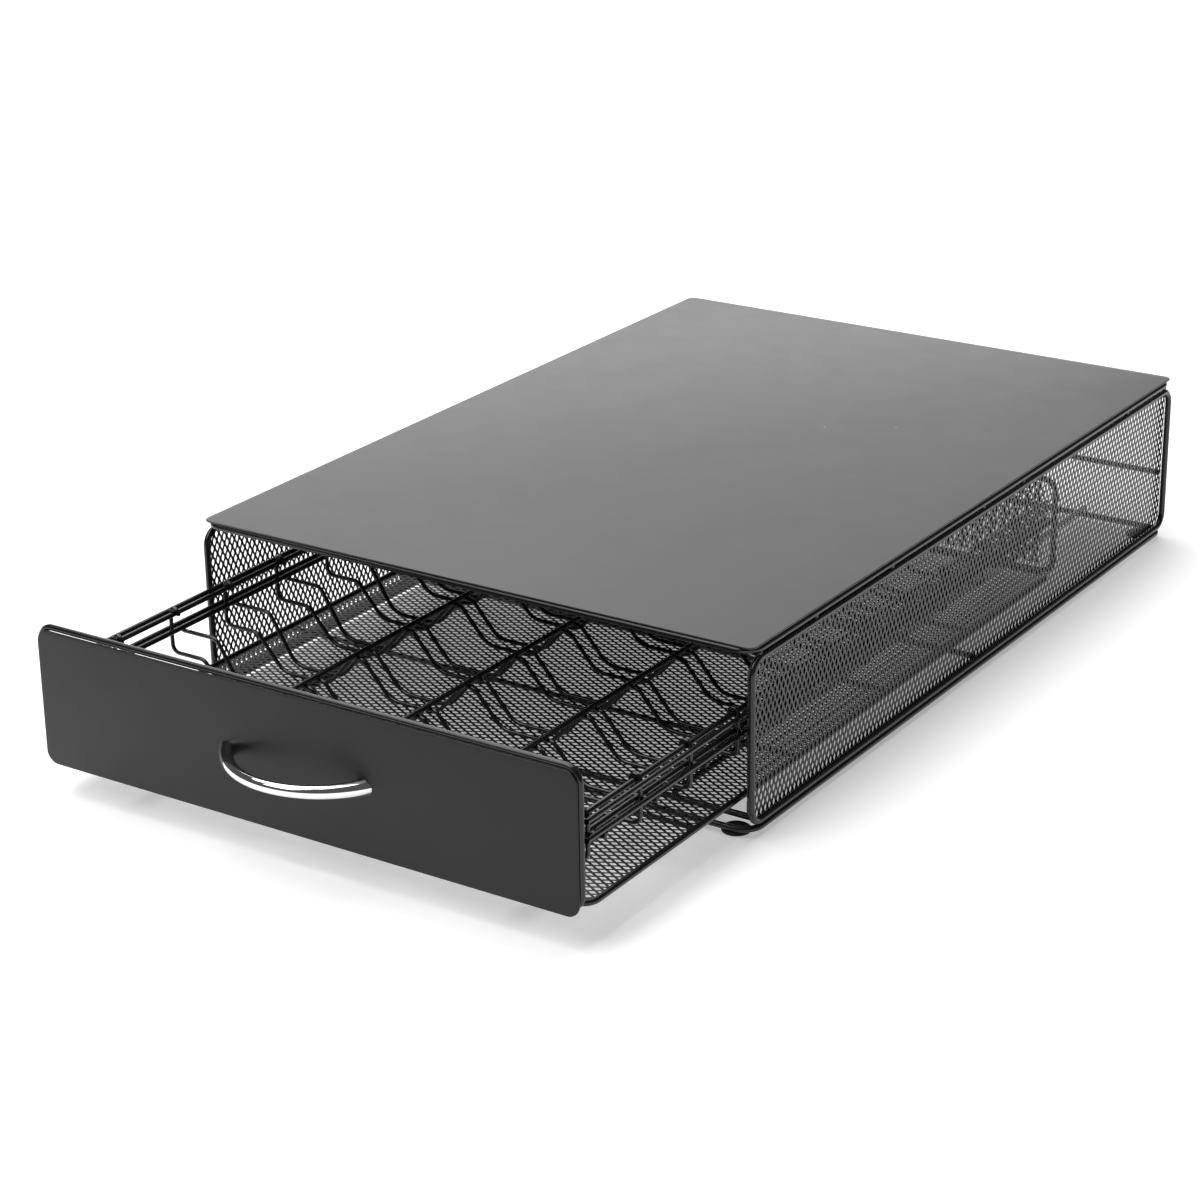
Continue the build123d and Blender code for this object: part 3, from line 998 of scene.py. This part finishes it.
@dataclass
class Drawer:
    """The sliding part without its rack: panel, loops, floor, skids and back."""

    shop: Workshop
    body: str = "drawer"
    bend: float = 7 * MM
    panel_corner: float = 6 * MM
    panel_edge: float = 0.3 * MM
    floor_strand: float = 1.3 * MM
    floor_snip: float = 0.5
    rear_snip: float = 2 * MM
    cross_wires: int = 4

    def build(self) -> None:
        """Make every piece of the drawer's frame."""
        self._panel()
        for node in ("front_frame_wire", "floor_frame_wire", "rear_frame_wire"):
            self.shop.loop(node, self.body, self.bend)
        self._floor_mesh()
        self._rear_mesh()
        shares = tuple(place / (self.cross_wires - 1) for place in range(self.cross_wires))
        self.shop.bars("floor_cross_wires", self.body, 2, shares)
        for side in ("left", "right"):
            self._skid(f"{side}_skid")

    def _panel(self) -> None:
        """Front panel, its face towards -Y."""
        low, high = vectors(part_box("front_panel"))
        span = high - low
        mesh = pressed_sheet(span.x, span.z, span.y, self.panel_corner, self.panel_edge)
        turn = Matrix.Rotation(math.pi / 2, 4, "X")
        place = Matrix.Translation((0, low.y, (low.z + high.z) / 2)) @ turn
        bmesh.ops.transform(mesh, matrix=place, verts=mesh.verts)
        self.shop.deliver("front_panel.pressed", mesh, self.body, "panel_black", Finish.PANEL,
                          ("front_panel",))

    def _floor_mesh(self) -> None:
        """Expanded mesh of the drawer's floor."""
        low, high = vectors(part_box("floor_mesh"))
        span = high - low
        middle = (low + high) / 2
        stock = ExpandedMesh(strand=self.floor_strand, eased=False)
        turn = Matrix.Rotation(math.pi / 2, 4, "Z")
        place = Matrix.Translation(middle + Vector((0, 0, stock.thickness / 2))) @ turn
        mesh = stock.cut(span.y, span.x, self.bend * self.floor_snip, place)
        self.shop.deliver("floor_mesh.expanded", mesh, self.body, "black_mesh", Finish.MESH,
                          ("floor_mesh",))

    def _rear_mesh(self) -> None:
        """Expanded mesh in front of the drawer's rear loop."""
        low, high = vectors(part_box("rear_mesh"))
        span = high - low
        middle = (low + high) / 2
        stock = ExpandedMesh()
        turn = Matrix.Rotation(math.pi / 2, 4, "X")
        place = Matrix.Translation(middle - Vector((0, stock.thickness / 2, 0))) @ turn
        mesh = stock.cut(span.x, span.z, self.rear_snip, place)
        self.shop.deliver("rear_mesh.expanded", mesh, self.body, "black_mesh", Finish.MESH,
                          ("rear_mesh",))

    def _skid(self, node: str) -> None:
        """Skid wire with its ends turned up to the floor loop."""
        low, high = vectors(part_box(node))
        diameter = high.x - low.x
        x = (low.x + high.x) / 2
        floor = low.z + diameter / 2
        front = low.y + diameter / 2
        rear = high.y - diameter / 2
        bend = high.z - floor
        route = [Vector((x, front, high.z)), Vector((x, front, floor)),
                 Vector((x, rear, floor)), Vector((x, rear, high.z))]
        bender = self.shop.bender(diameter).follow(route, bend * SHY)
        self.shop.wire(node, self.body, bender)


@dataclass
class PodRack:
    """Rails, lane dividers and the two kinds of wave wire that hold the pods."""

    shop: Workshop
    body: str = "drawer"
    rows: int = 10
    lane_pitch: float = 63 * MM
    lanes: int = 4
    diameter: float = 2 * MM
    crest: float = 37.5 * MM
    trough: float = 20.5 * MM
    hook: float = 44.6 * MM
    floor_width: float = 27 * MM
    top_width: float = 57 * MM
    post_x: float = 141.65 * MM
    rail_x: float = 139.3 * MM
    rail_z: float = 57 * MM
    arch: float = 2.35 * MM
    hook_x: float = 144 * MM
    floor_bend: float = 11 * MM
    crest_bend: float = 5 * MM
    post_bend: float = 4 * MM
    hook_bend: float = 1.9 * MM
    arch_end: float = 0.5 * MM
    wire_sides: int = 12
    bend_step: float = 12.0

    def build(self) -> None:
        """Make the whole rack."""
        for side in ("left", "right"):
            for level in ("upper", "lower"):
                self.shop.bars(f"{side}_{level}_rails", self.body, 2, (0.0, 1.0))
        for number in range(1, self.lanes):
            self.shop.bars(f"lane_divider_{number}", self.body)
        for row in range(1, self.rows + 2):
            self._wire(f"cradle_wire_{row:02d}", self._cradle_end())
        for row in range(1, self.rows + 1):
            self._wire(f"retaining_wire_{row:02d}", self._hook_end())

    def _lane_points(self, end_level: float) -> tuple[list[tuple[float, float]], list[float]]:
        """Points over the lanes, and the bend at each.

        Args:
            end_level: height at both sides.

        Returns:
            The points as X and Z, and the bend radii.
        """
        points: list[tuple[float, float]] = []
        bends: list[float] = []
        for lane in range(self.lanes):
            centre = (lane - (self.lanes - 1) / 2) * self.lane_pitch
            left = end_level if lane == 0 else self.crest
            right = end_level if lane == self.lanes - 1 else self.crest
            points += [(centre - self.top_width / 2, left),
                       (centre - self.floor_width / 2, self.trough),
                       (centre + self.floor_width / 2, self.trough),
                       (centre + self.top_width / 2, right)]
            bends += [self.crest_bend, self.floor_bend, self.floor_bend, self.crest_bend]
        return points, bends

    def _cradle_end(self) -> tuple[list[tuple[float, float]], list[float], float]:
        """Right end of a cradle wire: up between the rails and over the inner one."""
        top = self.rail_z + self.arch
        inner = self.rail_x - self.arch
        points = [(self.post_x, self.crest), (self.post_x, top), (inner, top),
                  (inner, self.rail_z - self.arch_end)]
        return points, [self.post_bend, self.arch * SHY, self.arch * SHY], self.crest

    def _hook_end(self) -> tuple[list[tuple[float, float]], list[float], float]:
        """Right end of a retaining wire: hooked up under the lower outer rail."""
        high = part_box("retaining_wire_01")[1][2]
        points = [(self.hook_x, self.hook), (self.hook_x, high)]
        return points, [self.hook_bend], self.hook

    def _wire(self, node: str, end: tuple) -> None:
        """One wave wire across all the lanes.

        Args:
            node: the CAD node.
            end: points, bends and level of the right end.
        """
        low, high = vectors(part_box(node))
        y = (low.y + high.y) / 2
        end_points, end_bends, level = end
        lanes, bends = self._lane_points(level)
        left = [(-x, z) for x, z in reversed(end_points)]
        route = [Vector((x, y, z)) for x, z in [*left, *lanes, *end_points]]
        radii = [*reversed(end_bends), *bends, *end_bends]
        bender = WireBender(self.diameter, self.wire_sides, self.bend_step)
        self.shop.wire(node, self.body, bender.follow(route, radii))


# ---- stage -------------------------------------------------------------------------
@dataclass(frozen=True)
class Softbox:
    """One square lamp that faces the object."""

    name: str
    place: tuple[float, float, float]
    size: float
    power: float

    def hang(self, target: Vector) -> None:
        """Put the lamp up, turned to a target."""
        lamp = bpy.data.lights.new(self.name, "AREA")
        lamp.shape = "SQUARE"
        lamp.size = self.size
        lamp.energy = self.power
        holder = bpy.data.objects.new(self.name, lamp)
        holder.location = self.place
        aim = target - Vector(self.place)
        holder.rotation_euler = aim.to_track_quat("-Z", "Y").to_euler()
        bpy.context.scene.collection.objects.link(holder)


@dataclass
class Studio:
    """Pale floor, soft light and the camera."""

    floor_size: float = 30.0
    floor_colour: tuple = (0.88, 0.88, 0.88, 1.0)
    floor_glow: float = 0.36
    world_light: float = 0.09
    camera_place: tuple[float, float, float] = (0.73816, -1.15002, 0.57847)
    yaw: float = 33.528
    pitch: float = 21.845
    roll: float = -0.7506
    focal_pixels: float = 3001.3
    image_pixels: float = 1200.0
    sensor: float = 36.0
    aim: tuple[float, float, float] = (0.0, 0.02, 0.03)
    lamps: tuple[Softbox, ...] = (
        Softbox("back_softbox", (-2.3, 3.1, 1.75), 3.6, 68.0),
        Softbox("top_softbox", (-0.55, 0.1, 2.2), 2.2, 56.0),
        Softbox("front_softbox", (-0.7, -1.7, 2.1), 1.4, 24.0),
    )

    def build(self) -> None:
        """Make the stage."""
        bpy.context.scene.view_settings.view_transform = "Standard"
        self._floor()
        self._world()
        for lamp in self.lamps:
            lamp.hang(Vector(self.aim))
        self._camera()

    def _seen(self, kit: NodeKit) -> Expr:
        """One for rays that show the background, zero for rays that light the object."""
        rays = kit.node("ShaderNodeLightPath")
        camera = Expr(kit, rays.outputs["Is Camera Ray"])
        glossy = Expr(kit, rays.outputs["Is Glossy Ray"])
        through = Expr(kit, rays.outputs["Is Transmission Ray"])
        return camera.at_least(glossy).at_least(through)

    def _floor(self) -> None:
        """A plain pale floor that keeps the object's shadow."""
        mesh = bmesh.new()
        bmesh.ops.create_grid(mesh, x_segments=1, y_segments=1, size=self.floor_size / 2)
        data = bpy.data.meshes.new("floor")
        mesh.to_mesh(data)
        mesh.free()
        kit = NodeKit("floor_paper")
        diffuse = kit.node("ShaderNodeBsdfDiffuse", None, {"Color": self.floor_colour})
        glow = kit.node("ShaderNodeEmission", None,
                        {"Color": grey(1.0), "Strength": self._seen(kit) * self.floor_glow})
        both = kit.node("ShaderNodeAddShader", None, {0: diffuse.outputs[0],
                                                      1: glow.outputs[0]})
        kit.tree.links.new(both.outputs[0], kit.output.inputs["Surface"])
        data.materials.append(kit.material)
        floor = bpy.data.objects.new("floor", data)
        bpy.context.scene.collection.objects.link(floor)

    def _world(self) -> None:
        """White surroundings, dimmer as a light than as a view."""
        world = bpy.data.worlds.new("studio")
        bpy.context.scene.world = world
        world.use_nodes = True
        tree = world.node_tree
        tree.nodes.clear()
        output = tree.nodes.new("ShaderNodeOutputWorld")
        background = tree.nodes.new("ShaderNodeBackground")
        rays = tree.nodes.new("ShaderNodeLightPath")
        level = tree.nodes.new("ShaderNodeMapRange")
        level.inputs["To Min"].default_value = self.world_light
        level.inputs["To Max"].default_value = 1.0
        tree.links.new(rays.outputs["Is Camera Ray"], level.inputs["Value"])
        tree.links.new(level.outputs[0], background.inputs["Strength"])
        background.inputs["Color"].default_value = grey(1.0)
        tree.links.new(background.outputs[0], output.inputs["Surface"])

    def _camera(self) -> None:
        """The camera at the photograph's place and angle."""
        yaw, pitch, roll = (math.radians(angle) for angle in (self.yaw, self.pitch, self.roll))
        forward = Vector((-math.sin(yaw) * math.cos(pitch), math.cos(yaw) * math.cos(pitch),
                          -math.sin(pitch)))
        level = Vector((math.cos(yaw), math.sin(yaw), 0.0))
        upright = level.cross(forward)
        right = level * math.cos(roll) + upright * math.sin(roll)
        up = upright * math.cos(roll) - level * math.sin(roll)
        data = bpy.data.cameras.new("camera")
        data.sensor_width = self.sensor
        data.lens = self.sensor * self.focal_pixels / self.image_pixels
        camera = bpy.data.objects.new("camera", data)
        turn = Matrix((right, up, -forward)).transposed().to_4x4()
        camera.matrix_world = Matrix.Translation(self.camera_place) @ turn
        bpy.context.scene.collection.objects.link(camera)
        bpy.context.scene.camera = camera


def main() -> None:
    """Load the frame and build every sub-assembly."""
    logging.basicConfig(level=logging.INFO, format="%(name)s %(message)s")
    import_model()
    shop = Workshop()
    for part in (Casing(shop), Drawer(shop), Handle(shop), PodRack(shop), Studio()):
        part.build()
        log.info("%s built", type(part).__name__)


if __name__ == "__main__":
    main()
